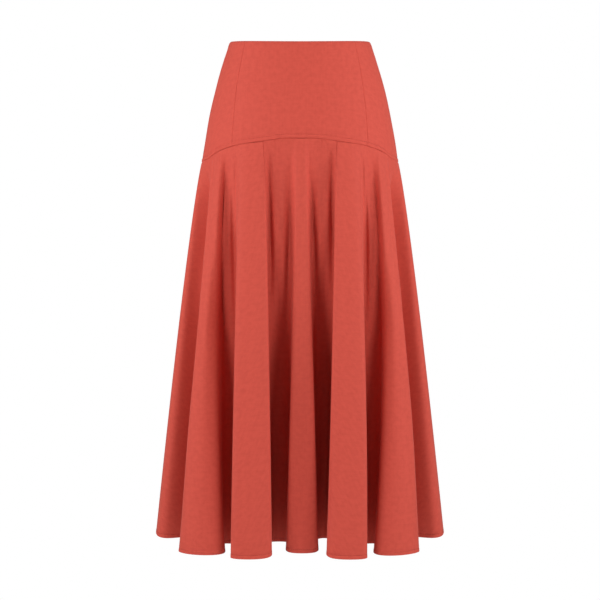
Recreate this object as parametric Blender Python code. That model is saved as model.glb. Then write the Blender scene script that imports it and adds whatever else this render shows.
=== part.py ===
"""A flared midi skirt with a fitted hip yoke, standing open and hollow as it does when it is worn.

Metres, +Z up. The front faces -Y and +X is on the right of the skirt seen from the front.
The origin is the middle of the waist opening. The yoke is fitted from the waist to the hips.
The lower skirt is cut so full that it falls in twelve deep flutes from the yoke seam to the hem.
A concealed zip closes the centre back of the yoke, and its pull tab turns on the slider.

Every panel is a wall of cloth laid out on two numbers: how far round the skirt, and how far down.
"""

import bisect
import math
from typing import NamedTuple

import bmesh
import bpy
from mathutils import Matrix, Vector

MM = 0.001

# Cloth and seams
CLOTH = 1.2 * MM
SEAM_GAP = 0.3 * MM
ZIP_SLOT = 1.5 * MM

# Levels, measured down from the waist at the side
WAIST_DIP_FRONT = 4.5 * MM
WAIST_DIP_BACK = 4.0 * MM
HEM_LEVEL = 846.0 * MM
HEM_FLANK_RISE = 3.0 * MM

# How the flutes open between the yoke seam and the hem
OPENING_POWER = 0.84
CREST_WIDTH = 0.2
CREST_FLATNESS = 0.06

# How finely the walls are divided, with more columns at the tops and bottoms of the flutes
COLUMNS_PER_FLUTE = 20
COLUMN_CROWDING = 0.3
YOKE_COLUMN_DEG = 3.4
YOKE_ROWS = 7
SKIRT_ROWS = 11
ROW_CROWDING = 1.45
TURN_STEP = 1e-3

# Zip tapes
ZIP_TOP = 9.0 * MM
ZIP_LENGTH = 160.0 * MM
TAPE_WIDTH = 11.0 * MM
TAPE = 1.0 * MM
TAPE_ROWS = 12
TAPE_COLUMNS = 3

# Zip slider: its body hangs a little behind the tapes, and its loop stands outside the cloth
SLIDER_BODY = Vector((7.0, 2.6, 9.0)) * MM
SLIDER_CORNER = 0.7 * MM
SLIDER_SETBACK = 1.2 * MM
STEM_HALF_WIDTH = 0.39 * MM
STEM_HALF_HEIGHT = 1.1 * MM
STEM_CORNER = 0.05 * MM
LOOP_HALF_WIDTH = 0.4 * MM
LOOP_INNER = 1.15 * MM
LOOP_OUTER = 2.0 * MM
LOOP_SIDES = 16
HINGE_DROP = 14.0 * MM
HINGE_STANDOFF = 2.6 * MM

# Zip pull: a plate whose top bar turns in the loop
PULL_BAR = 0.5 * MM
PULL_LENGTH = 27.0 * MM
PULL_EYE_LENGTH = 3.2 * MM
PULL_EYE_HALF_WIDTH = 1.5 * MM
PULL_EYE_SHARE = 0.6
PULL_TOP_HALF_WIDTH = 2.6 * MM
PULL_END_HALF_WIDTH = 4.2 * MM
PULL_TIP_HALF_WIDTH = 0.6 * MM
PULL_THICKNESS = 1.0 * MM
PULL_ROWS = 8
PULL_REST_GAP = 0.4 * MM


class Girth(NamedTuple):
    """How far the cloth stands from the middle at one level of the yoke, in mm."""

    below_waist: float
    side: float
    front: float
    back: float


GIRTHS = (
    Girth(below_waist=0, side=119.5, front=88, back=91),
    Girth(below_waist=14, side=123.5, front=91, back=94),
    Girth(below_waist=30, side=128.8, front=94, back=98),
    Girth(below_waist=64, side=139.2, front=101, back=108),
    Girth(below_waist=98, side=147.8, front=107, back=117),
    Girth(below_waist=132, side=155.1, front=112, back=124),
    Girth(below_waist=166, side=161.2, front=116, back=129),
    Girth(below_waist=208, side=167.8, front=119, back=132),
)


class SeamLevel(NamedTuple):
    """How far down the yoke seam lies at one angle from the centre front, in degrees and mm."""

    angle: float
    drop: float


YOKE_SEAM = (
    SeamLevel(angle=0, drop=165),
    SeamLevel(angle=11, drop=165.6),
    SeamLevel(angle=23, drop=170),
    SeamLevel(angle=37, drop=174.8),
    SeamLevel(angle=49, drop=181),
    SeamLevel(angle=59, drop=189),
    SeamLevel(angle=68, drop=198),
    SeamLevel(angle=90, drop=204),
    SeamLevel(angle=112, drop=200),
    SeamLevel(angle=130, drop=191),
    SeamLevel(angle=150, drop=184),
    SeamLevel(angle=180, drop=180),
)


class Fold(NamedTuple):
    """The top line of a flute, or the bottom line of the valley beside it, in degrees and mm."""

    seam_deg: float  # where it leaves the yoke seam, round from the centre front by +X
    side_deg: float  # where the side after it leaves the seam
    hem_x: float  # where it meets the hem
    hem_y: float
    swing: float  # how far its sides swell past their roots at the hem
    late: float  # 1 swells evenly all the way down, less does most of it near the yoke
    bow: float  # how far it curves sideways halfway down, onwards round the skirt


CRESTS = (
    Fold(seam_deg=0.4, side_deg=4.6, hem_x=4.1, hem_y=-162, swing=16.5, late=1.14, bow=1.1),
    Fold(seam_deg=26.9, side_deg=38.4, hem_x=74.7, hem_y=-212, swing=23.5, late=0.6, bow=3.3),
    Fold(seam_deg=53.6, side_deg=59.4, hem_x=162.2, hem_y=-182, swing=29.2, late=1.82, bow=9.1),
    Fold(seam_deg=90, side_deg=101, hem_x=248, hem_y=0, swing=28, late=0.8, bow=0),
    Fold(seam_deg=125, side_deg=130, hem_x=168, hem_y=181, swing=28, late=1.5, bow=-6),
    Fold(seam_deg=151, side_deg=159, hem_x=83, hem_y=211, swing=22, late=0.65, bow=-2),
    Fold(seam_deg=180, side_deg=184, hem_x=2, hem_y=180, swing=16, late=0.9, bow=1),
    Fold(seam_deg=209, side_deg=218, hem_x=-78, hem_y=213, swing=22, late=0.6, bow=3),
    Fold(seam_deg=234, side_deg=239, hem_x=-166, hem_y=180, swing=28, late=1.6, bow=6),
    Fold(seam_deg=270, side_deg=278.5, hem_x=-248, hem_y=-1, swing=28, late=0.8, bow=0),
    Fold(seam_deg=304.5, side_deg=308.5, hem_x=-166.2, hem_y=-183, swing=29.2, late=2.03, bow=-3.1),
    Fold(seam_deg=331.2, side_deg=340.2, hem_x=-78.7, hem_y=-211, swing=23, late=0.55, bow=0),
)

# Each row is the valley after the flute of the same row
TROUGHS = (
    Fold(seam_deg=12.3, side_deg=20.4, hem_x=41, hem_y=-52, swing=6, late=0.96, bow=1.2),
    Fold(seam_deg=43.4, side_deg=50.2, hem_x=102, hem_y=-84, swing=11.4, late=2.18, bow=8.8),
    Fold(seam_deg=69.4, side_deg=82, hem_x=124, hem_y=-34, swing=13, late=0.9, bow=0),
    Fold(seam_deg=112, side_deg=119, hem_x=126, hem_y=36, swing=13, late=0.9, bow=0),
    Fold(seam_deg=137, side_deg=143, hem_x=100, hem_y=86, swing=10, late=1, bow=-4),
    Fold(seam_deg=166, side_deg=174, hem_x=40, hem_y=62, swing=12, late=0.6, bow=3),
    Fold(seam_deg=193, side_deg=201, hem_x=-43, hem_y=56, swing=12, late=0.6, bow=-3),
    Fold(seam_deg=224, side_deg=229, hem_x=-104, hem_y=83, swing=10, late=1.1, bow=4),
    Fold(seam_deg=249, side_deg=260, hem_x=-122, hem_y=33, swing=13, late=0.9, bow=0),
    Fold(seam_deg=292.4, side_deg=300.3, hem_x=-125, hem_y=-36, swing=17.9, late=1.59, bow=-2),
    Fold(seam_deg=313.1, side_deg=319.5, hem_x=-101, hem_y=-86, swing=9.6, late=1.12, bow=-4),
    Fold(seam_deg=348.1, side_deg=356.2, hem_x=-38, hem_y=-64, swing=8.2, late=1.41, bow=1.5),
)

FLUTES = len(CRESTS)
FLUTE_DEG = 360 / FLUTES


class YokeSeam(NamedTuple):
    """An upright seam of the yoke, by its angle from the centre front at the waist and at the hips."""

    top: float
    bottom: float


FRONT_RIGHT = YokeSeam(top=50, bottom=43)
SIDE_RIGHT = YokeSeam(top=90, bottom=90)
BACK_RIGHT = YokeSeam(top=130, bottom=137)
ZIP_SEAM = YokeSeam(top=180, bottom=180)
BACK_LEFT = YokeSeam(top=230, bottom=223)
SIDE_LEFT = YokeSeam(top=270, bottom=270)
FRONT_LEFT = YokeSeam(top=310, bottom=317)


class YokePanel(NamedTuple):
    """A panel of the yoke between two upright seams."""

    name: str
    start: YokeSeam
    end: YokeSeam


YOKE_PANELS = (
    YokePanel("yoke_front", YokeSeam(*(angle - 360 for angle in FRONT_LEFT)), FRONT_RIGHT),
    YokePanel("yoke_front_side_right", FRONT_RIGHT, SIDE_RIGHT),
    YokePanel("yoke_back_side_right", SIDE_RIGHT, BACK_RIGHT),
    YokePanel("yoke_back_right", BACK_RIGHT, ZIP_SEAM),
    YokePanel("yoke_back_left", ZIP_SEAM, BACK_LEFT),
    YokePanel("yoke_back_side_left", BACK_LEFT, SIDE_LEFT),
    YokePanel("yoke_front_side_left", SIDE_LEFT, FRONT_LEFT),
)

# Where the seams of the lower skirt run, in turns: flutes counted from the centre front
PANEL_SEAM_TURN = 0.805
SIDE_TURN = FLUTES / 4
BACK_TURN = FLUTES / 2


class SkirtPanel(NamedTuple):
    """A panel of the lower skirt between two seams, in turns."""

    name: str
    start: float
    end: float


SKIRT_PANELS = (
    SkirtPanel("skirt_front", -PANEL_SEAM_TURN, PANEL_SEAM_TURN),
    SkirtPanel("skirt_front_side_right", PANEL_SEAM_TURN, SIDE_TURN),
    SkirtPanel("skirt_back_side_right", SIDE_TURN, BACK_TURN - PANEL_SEAM_TURN),
    SkirtPanel("skirt_back_right", BACK_TURN - PANEL_SEAM_TURN, BACK_TURN),
    SkirtPanel("skirt_back_left", BACK_TURN, BACK_TURN + PANEL_SEAM_TURN),
    SkirtPanel("skirt_back_side_left", BACK_TURN + PANEL_SEAM_TURN, FLUTES - SIDE_TURN),
    SkirtPanel("skirt_front_side_left", FLUTES - SIDE_TURN, FLUTES - PANEL_SEAM_TURN),
)


class Finish(NamedTuple):
    """A colour with its roughness and metallic value."""

    colour: tuple
    roughness: float
    metallic: float


TERRACOTTA = Finish(colour=(0.578, 0.087, 0.060), roughness=0.85, metallic=0.0)
DARK_TERRACOTTA = Finish(colour=(0.50, 0.070, 0.048), roughness=0.8, metallic=0.0)
PAINTED_METAL = Finish(colour=(0.50, 0.070, 0.050), roughness=0.4, metallic=0.3)


def smooth_value(places, values, at):
    """The value at one place on a smooth curve through a table's values."""
    last = len(places) - 1
    i = min(max(bisect.bisect_right(places, at) - 1, 0), last - 1)

    def slope(k):
        low, high = max(k - 1, 0), min(k + 1, last)
        return (values[high] - values[low]) / (places[high] - places[low])

    step = places[i + 1] - places[i]
    f = (at - places[i]) / step
    bend = 3 * f * f - 2 * f**3
    leave = (f**3 - 2 * f * f + f) * step * slope(i)
    arrive = (f**3 - f * f) * step * slope(i + 1)
    return values[i] + (values[i + 1] - values[i]) * bend + leave + arrive


def ring_value(values, turn):
    """The value at a turn on a smooth closed curve, with values[k] at turn k."""
    k = math.floor(turn)
    f = turn - k
    before, here, there, after = (values[(k + i) % len(values)] for i in (-1, 0, 1, 2))
    rise = (there - before) / 2
    end_rise = (after - here) / 2
    return (
        here * (1 - 3 * f * f + 2 * f**3)
        + there * (3 * f * f - 2 * f**3)
        + rise * (f**3 - 2 * f * f + f)
        + end_rise * (f**3 - f * f)
    )


def column(rows, name):
    """One named column of a table."""
    return [getattr(row, name) for row in rows]


def ring_column(rows, name, turn):
    """A named column of a table of flutes, read at any turn, in metres."""
    return ring_value(column(rows, name), turn) * MM


def girth_value(name, below_waist):
    """A named column of the girths at a level, in metres."""
    return smooth_value(column(GIRTHS, "below_waist"), column(GIRTHS, name), below_waist / MM) * MM


def body_point(angle, below_waist):
    """A point of the fitted form at an angle from the centre front, and a level."""
    across = math.sin(angle)
    forward = math.cos(angle)
    depth = girth_value("front" if forward > 0 else "back", below_waist)
    return Vector((girth_value("side", below_waist) * across, -depth * forward, -below_waist))


def waist_level(angle):
    """How far the top edge lies below the waist at the side."""
    forward = math.cos(angle)
    return (WAIST_DIP_FRONT if forward > 0 else WAIST_DIP_BACK) * forward**2


def seam_level(angle):
    """How far down the yoke seam lies, the same on the left and on the right."""
    folded = abs((math.degrees(angle) + 180) % 360 - 180)
    return smooth_value(column(YOKE_SEAM, "angle"), column(YOKE_SEAM, "drop"), folded) * MM


def yoke_point(angle, fall):
    """A point of the yoke: fall runs from 0 at the waist to 1 at the yoke seam."""
    top = waist_level(angle)
    bottom = seam_level(angle) - SEAM_GAP / 2
    return body_point(angle, top + (bottom - top) * fall)


def seam_angle(turn):
    """The angle at which a turn of the lower skirt meets the yoke seam."""
    folds = [fold for pair in zip(CRESTS, TROUGHS) for fold in pair]
    angles = [angle for fold in folds for angle in (fold.seam_deg, fold.side_deg)]
    shifts = [angle - FLUTE_DEG / 4 * k for k, angle in enumerate(angles)]
    return math.radians(FLUTE_DEG * turn + ring_value(shifts, 4 * turn))


def hem_level(phase):
    """How far down the hem lies: level along the crests and valleys, and a little higher on the flanks."""
    return HEM_LEVEL - HEM_FLANK_RISE * math.sin(phase) ** 2


def sideways_at(folds, turn, fall):
    """How far the folds of a table stand sideways at a turn and a level, in metres."""
    swell = ring_column(folds, "swing", turn) * fall ** ring_value(column(folds, "late"), turn)
    bow = ring_column(folds, "bow", turn) * 4 * fall * (1 - fall)
    return swell * math.sin(2 * math.tau * turn) + bow


def skirt_point(turn, fall):
    """A point of the lower skirt: fall runs from 0 at the yoke seam to 1 at the hem."""
    turn -= COLUMN_CROWDING * math.sin(2 * math.tau * turn) / (2 * math.tau)
    phase = math.tau * turn
    wave = math.cos(phase) + CREST_WIDTH * math.sin(phase) ** 2
    share = (1 + wave - CREST_FLATNESS * (math.cos(3 * phase) - math.cos(phase))) / 2
    crest = Vector((ring_column(CRESTS, "hem_x", turn), ring_column(CRESTS, "hem_y", turn)))
    trough = Vector((ring_column(TROUGHS, "hem_x", turn - 0.5), ring_column(TROUGHS, "hem_y", turn - 0.5)))
    across = (crest - trough).normalized()
    sideways = sideways_at(CRESTS, turn, fall) * share + sideways_at(TROUGHS, turn - 0.5, fall) * (1 - share)

    angle = seam_angle(turn)
    top = seam_level(angle) + SEAM_GAP / 2
    seam = body_point(angle, top)
    opened = fall**OPENING_POWER
    plan = seam.xy.lerp(trough.lerp(crest, share), opened)
    plan += Vector((-across.y, across.x)) * sideways
    level = top + (hem_level(phase) - top) * fall
    return Vector((plan.x, plan.y, -level))


def outward(curve, at, step):
    """The level direction out of the cloth, at a place on a curve that runs round the skirt."""
    ahead = curve(at + step) - curve(at - step)
    return Vector((ahead.y, -ahead.x, 0)).normalized()


def new_object(name, bm, finish, smooth_deg=40):
    """An object of a finished bmesh, with a material of its own."""
    bmesh.ops.recalc_face_normals(bm, faces=bm.faces)
    mesh = bpy.data.meshes.new(name)
    bm.to_mesh(mesh)
    bm.free()
    mesh.shade_smooth()
    mesh.set_sharp_from_angle(angle=math.radians(smooth_deg))
    material = bpy.data.materials.new(name + "_finish")
    material.use_nodes = True
    shader = material.node_tree.nodes["Principled BSDF"]
    shader.inputs["Base Color"].default_value = (*finish.colour, 1)
    shader.inputs["Roughness"].default_value = finish.roughness
    shader.inputs["Metallic"].default_value = finish.metallic
    mesh.materials.append(material)
    thing = bpy.data.objects.new(name, mesh)
    bpy.context.scene.collection.objects.link(thing)
    return thing


def rim(bm, outer, inner):
    """Closes the wall along one edge, with the same diagonals on the two edges that meet at a seam."""
    for k in range(len(outer) - 1):
        bm.faces.new((outer[k], outer[k + 1], inner[k + 1]))
        bm.faces.new((outer[k], inner[k + 1], inner[k]))


def cloth_wall(name, columns, rows, place, finish, thickness=CLOTH, moved_in=0.0):
    """A closed wall of cloth. place(i, j) gives the middle point and the outward direction there."""
    bm = bmesh.new()
    spots = [[place(i, j) for i in range(columns + 1)] for j in range(rows + 1)]
    outer, inner = (
        [[bm.verts.new(middle + out * offset) for middle, out in row] for row in spots]
        for offset in (thickness / 2 - moved_in, -thickness / 2 - moved_in)
    )
    for grid in (outer, inner):
        for j in range(rows):
            for i in range(columns):
                bm.faces.new((grid[j][i], grid[j][i + 1], grid[j + 1][i + 1], grid[j + 1][i]))
    for j in (0, -1):
        rim(bm, outer[j], inner[j])
    for i in (0, -1):
        rim(bm, [row[i] for row in outer], [row[i] for row in inner])
    return new_object(name, bm, finish)


def between(curve, start, end, gap_start, gap_end, share):
    """A place on a curve between its two ends, each drawn in by a real distance, with its outward way."""
    start += gap_start * TURN_STEP / (curve(start + TURN_STEP) - curve(start)).length
    end -= gap_end * TURN_STEP / (curve(end) - curve(end - TURN_STEP)).length
    at = start + (end - start) * share
    return curve(at), outward(curve, at, TURN_STEP)


def yoke_panel(panel):
    """One panel of the yoke, with a slot left for the zip at the centre back."""
    columns = math.ceil((panel.end.bottom - panel.start.bottom) / YOKE_COLUMN_DEG)
    seams = (panel.start, panel.end)
    gap_start, gap_end = ((ZIP_SLOT if seam == ZIP_SEAM else SEAM_GAP) / 2 for seam in seams)

    def place(i, j):
        fall = j / YOKE_ROWS
        start, end = (math.radians(seam.top + (seam.bottom - seam.top) * fall) for seam in seams)
        return between(lambda angle: yoke_point(angle, fall), start, end, gap_start, gap_end, i / columns)

    return cloth_wall(panel.name, columns, YOKE_ROWS, place, TERRACOTTA)


def skirt_panel(panel):
    """One panel of the lower skirt, with its share of the flutes."""
    columns = round((panel.end - panel.start) * COLUMNS_PER_FLUTE)
    gap = SEAM_GAP / 2

    def place(i, j):
        fall = (j / SKIRT_ROWS) ** ROW_CROWDING
        return between(lambda turn: skirt_point(turn, fall), panel.start, panel.end, gap, gap, i / columns)

    return cloth_wall(panel.name, columns, SKIRT_ROWS, place, TERRACOTTA)


def back_line(below_waist):
    """The point of the cloth's middle surface at the centre back, at a level."""
    return body_point(math.pi, below_waist)


def zip_tape(name, side):
    """One tape of the concealed zip, which follows the inside of the yoke beside the centre back."""
    to_tape = CLOTH / 2 + SEAM_GAP + TAPE / 2

    def place(i, j):
        level = ZIP_TOP + ZIP_LENGTH * j / TAPE_ROWS
        share = i / TAPE_COLUMNS if side > 0 else 1 - i / TAPE_COLUMNS
        reach = ZIP_SLOT / 2 + TAPE_WIDTH * share

        def level_curve(angle):
            return body_point(angle, level)

        angle = math.pi - side * math.asin(reach / girth_value("side", level))
        return level_curve(angle), outward(level_curve, angle, TURN_STEP)

    return cloth_wall(name, TAPE_COLUMNS, TAPE_ROWS, place, DARK_TERRACOTTA, thickness=TAPE, moved_in=to_tape)


def solid_box(bm, middle, size, corner):
    """A box with rounded edges."""
    made = bmesh.ops.create_cube(bm, size=1)
    matrix = Matrix.Translation(middle) @ Matrix.Diagonal((*size, 1))
    bmesh.ops.transform(bm, matrix=matrix, verts=made["verts"])
    edges = list({edge for vert in made["verts"] for edge in vert.link_edges})
    bmesh.ops.bevel(bm, geom=edges, offset=corner, segments=2, profile=0.5, affect="EDGES")


def thicken(bm, faces, by):
    """Extrudes flat faces by a vector, into a solid."""
    made = bmesh.ops.extrude_face_region(bm, geom=faces)
    moved = [part for part in made["geom"] if isinstance(part, bmesh.types.BMVert)]
    bmesh.ops.translate(bm, verts=moved, vec=by)


def hinge_point():
    """The axis of the pull tab, just outside the cloth at the centre back."""
    surface = back_line(HINGE_DROP)
    return surface + Vector((0, CLOTH / 2 + HINGE_STANDOFF, 0))


def zip_slider():
    """The slider: its body behind the tapes, and a stem through the slot to the loop that holds the pull."""
    hinge = hinge_point()
    inside = hinge.y - HINGE_STANDOFF - CLOTH - SEAM_GAP - TAPE - SEAM_GAP
    behind = inside - SLIDER_SETBACK - SLIDER_BODY.y / 2
    bm = bmesh.new()
    solid_box(bm, Vector((0, behind, hinge.z)), SLIDER_BODY, SLIDER_CORNER)
    slider = new_object("zip_slider", bm, PAINTED_METAL)

    bm = bmesh.new()
    turns = [math.tau * (k + 0.5) / LOOP_SIDES for k in range(LOOP_SIDES)]
    inner, outer = (
        [bm.verts.new(hinge + Vector((-LOOP_HALF_WIDTH, r * math.cos(a), r * math.sin(a)))) for a in turns]
        for r in (LOOP_INNER, LOOP_OUTER)
    )
    ring = [bm.faces.new((outer[k - 1], outer[k], inner[k], inner[k - 1])) for k in range(LOOP_SIDES)]
    thicken(bm, ring, Vector((2 * LOOP_HALF_WIDTH, 0, 0)))
    loop = new_object("slider_loop", bm, PAINTED_METAL)

    far = hinge.y - (LOOP_INNER + LOOP_OUTER) / 2
    size = Vector((2 * STEM_HALF_WIDTH, far - behind, 2 * STEM_HALF_HEIGHT))
    bm = bmesh.new()
    solid_box(bm, Vector((0, (far + behind) / 2, hinge.z)), size, STEM_CORNER)
    stem = new_object("slider_stem", bm, PAINTED_METAL)

    for tool in (loop, stem):
        join = slider.modifiers.new("join_" + tool.name, "BOOLEAN")
        join.operation = "UNION"
        join.object = tool
        tool.hide_render = True
        tool.display_type = "WIRE"
    return slider


def pull_outline(along):
    """Half the width of the pull tab at a distance from its axis: a teardrop that widens to its end."""
    share = min(max(along / PULL_LENGTH, 0), 1)
    width = PULL_TOP_HALF_WIDTH + (PULL_END_HALF_WIDTH - PULL_TOP_HALF_WIDTH) * share
    to_end = PULL_LENGTH - along
    if to_end < PULL_END_HALF_WIDTH:
        rounded = PULL_END_HALF_WIDTH**2 - (PULL_END_HALF_WIDTH - to_end) ** 2
        return math.sqrt(max(rounded, 0)) * width / PULL_END_HALF_WIDTH
    return width


def zip_pull():
    """The teardrop pull tab, whose top bar turns in the slider's loop, with its tip resting at the cloth."""
    hinge = hinge_point()
    tip = back_line(HINGE_DROP + PULL_LENGTH).y + CLOTH / 2 + PULL_REST_GAP + PULL_THICKNESS / 2
    lean = math.asin((tip - hinge.y) / PULL_LENGTH)
    stations = [-PULL_BAR, PULL_BAR, PULL_EYE_LENGTH]
    for k in range(1, PULL_ROWS + 1):
        share = math.sin(k / PULL_ROWS * math.pi / 2)
        stations.append(PULL_EYE_LENGTH + (PULL_LENGTH - PULL_EYE_LENGTH) * share)
    bm = bmesh.new()
    rows = []
    for along in stations:
        half = max(pull_outline(along), PULL_TIP_HALF_WIDTH)
        eye = min(PULL_EYE_HALF_WIDTH, half * PULL_EYE_SHARE)
        rows.append([bm.verts.new((x, -PULL_THICKNESS / 2, -along)) for x in (-half, -eye, eye, half)])
    faces = []
    for j in range(len(rows) - 1):
        for i in range(3):
            if not (i == 1 and stations[j] == PULL_BAR):
                faces.append(bm.faces.new((rows[j][i], rows[j][i + 1], rows[j + 1][i + 1], rows[j + 1][i])))
    thicken(bm, faces, Vector((0, PULL_THICKNESS, 0)))
    pull = new_object("zip_pull", bm, PAINTED_METAL)
    pull.location = hinge
    pull.rotation_euler = (lean, 0, 0)
    return pull


def clear_scene():
    """Removes what a new file starts with."""
    for thing in list(bpy.data.objects):
        bpy.data.objects.remove(thing)


def main():
    """Builds the skirt from the waist down."""
    clear_scene()
    for panel in YOKE_PANELS:
        yoke_panel(panel)
    for panel in SKIRT_PANELS:
        skirt_panel(panel)
    zip_tape("zip_tape_right", 1)
    zip_tape("zip_tape_left", -1)
    zip_slider()
    zip_pull()


main()
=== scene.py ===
"""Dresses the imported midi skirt: fine cloth shells with seams, stitching and soft creases, and its zip.

The frame's solids are walls of cloth on a small set of tables. The same tables and section functions are
repeated here at a finer grain, so that every shell lies where its solid does. Metres, +Z up, front to -Y.
"""

from __future__ import annotations

import logging
import math
from dataclasses import dataclass, field
from enum import Enum
from typing import Any, NamedTuple, Sequence

import bmesh
import bpy
import numpy as np
from mathutils import Matrix, Vector

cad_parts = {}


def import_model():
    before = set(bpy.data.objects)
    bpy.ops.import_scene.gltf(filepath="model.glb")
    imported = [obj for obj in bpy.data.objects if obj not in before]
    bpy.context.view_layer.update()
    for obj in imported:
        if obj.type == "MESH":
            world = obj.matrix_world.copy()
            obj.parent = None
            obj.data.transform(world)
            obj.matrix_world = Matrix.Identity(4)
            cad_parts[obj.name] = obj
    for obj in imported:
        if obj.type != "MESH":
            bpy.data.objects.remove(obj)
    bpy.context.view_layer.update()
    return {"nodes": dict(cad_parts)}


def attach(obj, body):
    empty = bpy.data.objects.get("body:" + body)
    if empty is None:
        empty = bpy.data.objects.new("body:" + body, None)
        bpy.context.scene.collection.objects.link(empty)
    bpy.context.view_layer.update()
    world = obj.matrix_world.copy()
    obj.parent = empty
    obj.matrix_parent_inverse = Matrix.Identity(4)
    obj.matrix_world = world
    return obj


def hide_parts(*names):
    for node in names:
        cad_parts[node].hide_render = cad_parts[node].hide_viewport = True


LOG = logging.getLogger("skirt")
MM = 0.001
SKIRT_BODY = "skirt"
PULL_BODY = "pull_tab"
WHITE = (1.0, 1.0, 1.0, 1.0)
CLOTH_THICKNESS = 0.9 * MM
STEP = 1e-3  # a small step in turns or radians, for the directions on a surface
Array = np.ndarray


class Side(Enum):
    """Which side of the centre back a zip piece is on: +1 towards +X."""

    RIGHT = 1
    LEFT = -1


class Girth(NamedTuple):
    """How far the cloth stands from the middle at one level of the yoke, in mm."""

    below_waist: float
    side: float
    front: float
    back: float


class SeamLevel(NamedTuple):
    """How far down the yoke seam lies at one angle from the centre front, in degrees and mm."""

    angle: float
    drop: float


class Fold(NamedTuple):
    """The top line of a flute, or the bottom line of the valley after it, in degrees and mm."""

    seam_deg: float  # where it leaves the yoke seam, round from the centre front by +X
    side_deg: float  # where the side after it leaves the seam
    hem_x: float  # where it meets the hem
    hem_y: float
    swing: float  # how far its sides swell past their roots at the hem
    late: float  # 1 swells evenly all the way down, less does most of it near the yoke
    bow: float  # how far it curves sideways halfway down, onwards round the skirt


class HemLift(NamedTuple):
    """A place where the hem hangs a little higher: its turn, its half width in turns and its height in mm."""

    turn: float
    width: float
    lift: float


class YokeCut(NamedTuple):
    """A panel of the yoke: its two upright seams by their angles, and the size it was cut to in metres."""

    name: str
    start_top: float
    start_bottom: float
    end_top: float
    end_bottom: float
    flat: tuple[float, float]
    area: float


class SkirtCut(NamedTuple):
    """A panel of the lower skirt: its seams in turns, and the size it was cut to in metres."""

    name: str
    start: float
    end: float
    flat: tuple[float, float]
    area: float


GIRTHS = tuple(Girth(*row) for row in (
    (0, 119.5, 88, 91),
    (14, 123.5, 91, 94),
    (30, 128.8, 94, 98),
    (64, 139.2, 101, 108),
    (98, 147.8, 107, 117),
    (132, 155.1, 112, 124),
    (166, 161.2, 116, 129),
    (208, 167.8, 119, 132),
))

YOKE_SEAM = tuple(SeamLevel(*row) for row in (
    (0, 165),
    (11, 165.6),
    (23, 170),
    (37, 174.8),
    (49, 181),
    (59, 189),
    (68, 198),
    (90, 204),
    (112, 200),
    (130, 191),
    (150, 184),
    (180, 180),
))

CRESTS = tuple(Fold(*row) for row in (
    (0.4, 4.6, 4.1, -162, 16.5, 1.14, 1.1),
    (26.9, 38.4, 74.7, -212, 23.5, 0.6, 3.3),
    (53.6, 59.4, 162.2, -182, 29.2, 1.82, 9.1),
    (90, 101, 248, 0, 28, 0.8, 0),
    (125, 130, 168, 181, 28, 1.5, -6),
    (151, 159, 83, 211, 22, 0.65, -2),
    (180, 184, 2, 180, 16, 0.9, 1),
    (209, 218, -78, 213, 22, 0.6, 3),
    (234, 239, -166, 180, 28, 1.6, 6),
    (270, 278.5, -248, -1, 28, 0.8, 0),
    (304.5, 308.5, -166.2, -183, 29.2, 2.03, -3.1),
    (331.2, 340.2, -78.7, -211, 23, 0.55, 0),
))

TROUGHS = tuple(Fold(*row) for row in (
    (12.3, 20.4, 41, -52, 6, 0.96, 1.2),
    (43.4, 50.2, 102, -84, 11.4, 2.18, 8.8),
    (69.4, 82, 124, -34, 13, 0.9, 0),
    (112, 119, 126, 36, 13, 0.9, 0),
    (137, 143, 100, 86, 10, 1, -4),
    (166, 174, 40, 62, 12, 0.6, 3),
    (193, 201, -43, 56, 12, 0.6, -3),
    (224, 229, -104, 83, 10, 1.1, 4),
    (249, 260, -122, 33, 13, 0.9, 0),
    (292.4, 300.3, -125, -36, 17.9, 1.59, -2),
    (313.1, 319.5, -101, -86, 9.6, 1.12, -4),
    (348.1, 356.2, -38, -64, 8.2, 1.41, 1.5),
))

YOKE_CUTS = (
    YokeCut("yoke_front", -50, -43, 50, 43, (0.235, 0.178), 0.034),
    YokeCut("yoke_front_side_right", 50, 43, 90, 90, (0.135, 0.208), 0.0205),
    YokeCut("yoke_back_side_right", 90, 90, 130, 137, (0.135, 0.208), 0.0205),
    YokeCut("yoke_back_right", 130, 137, 180, 180, (0.12, 0.19), 0.018),
    YokeCut("yoke_back_left", 180, 180, 230, 223, (0.12, 0.19), 0.018),
    YokeCut("yoke_back_side_left", 230, 223, 270, 270, (0.135, 0.208), 0.0205),
    YokeCut("yoke_front_side_left", 270, 270, 310, 317, (0.135, 0.208), 0.0205),
)

HEM_LIFTS = tuple(HemLift(*row) for row in (
    (-3, 0.13, 7),
    (-1.76, 0.1, 4),
    (-0.78, 0.12, 6),
    (-0.2, 0.09, 4),
    (0.2, 0.09, 4.5),
    (0.5, 0.15, 3.5),
    (0.78, 0.12, 6),
    (1.76, 0.1, 4),
    (3, 0.13, 7),
    (5.24, 0.12, 4),
    (6.76, 0.12, 4),
))

PANEL_SEAM = 0.805
SKIRT_CUTS = (
    SkirtCut("skirt_front", -PANEL_SEAM, PANEL_SEAM, (0.53, 0.70), 0.22),
    SkirtCut("skirt_front_side_right", PANEL_SEAM, 3, (0.75, 0.70), 0.31),
    SkirtCut("skirt_back_side_right", 3, 6 - PANEL_SEAM, (0.75, 0.70), 0.31),
    SkirtCut("skirt_back_right", 6 - PANEL_SEAM, 6, (0.27, 0.68), 0.11),
    SkirtCut("skirt_back_left", 6, 6 + PANEL_SEAM, (0.27, 0.68), 0.11),
    SkirtCut("skirt_back_side_left", 6 + PANEL_SEAM, 9, (0.75, 0.70), 0.31),
    SkirtCut("skirt_front_side_left", 9, 12 - PANEL_SEAM, (0.75, 0.70), 0.31),
)


def rows_of(table: Sequence[NamedTuple], name: str) -> Array:
    """One named column of a table, as an array."""
    return np.array([getattr(row, name) for row in table], dtype=float)


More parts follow.
